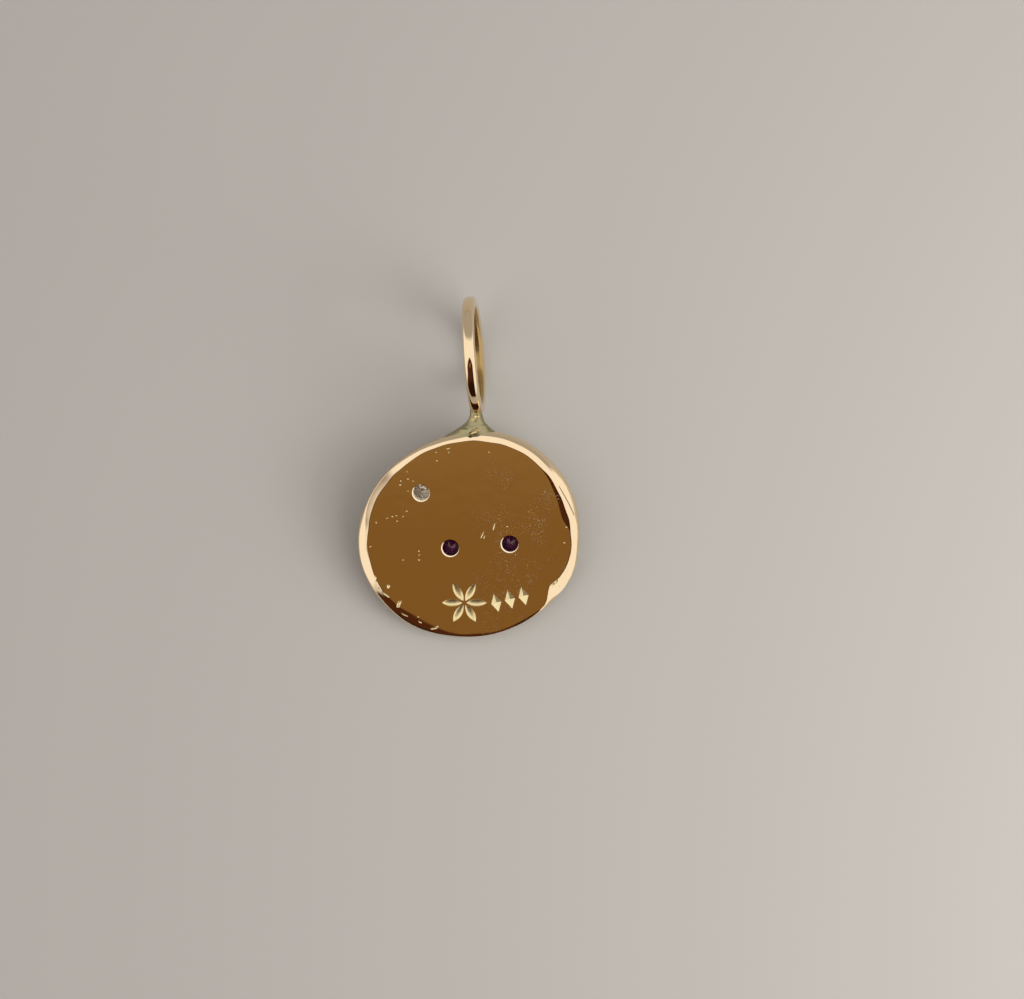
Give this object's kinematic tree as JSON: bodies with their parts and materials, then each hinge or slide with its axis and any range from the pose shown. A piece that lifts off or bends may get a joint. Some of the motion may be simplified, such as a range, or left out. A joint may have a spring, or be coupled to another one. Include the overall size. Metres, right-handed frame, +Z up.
{
  "type": "skull charm",
  "caption": "Round gold charm lying face down, with a flat ground back, set stones, a low raised skull on its front and a soldered wire loop bail.",
  "frame": {"origin": "on the table, under the middle of the lying charm's box", "axes": "+Z up from the table it lies on, +Y from the disc towards the bail, +X to the right as the back is seen"},
  "size_m": [0.0128, 0.0196, 0.0068],
  "materials": {
    "gold": "polished",
    "clear_stone": "polished",
    "purple_stone": "polished"
  },
  "bodies": {
    "root": {"disc_with_bail": "gold", "clear_stone": "clear_stone", "purple_stone_left": "purple_stone", "purple_stone_right": "purple_stone"}
  },
  "joints": []
}
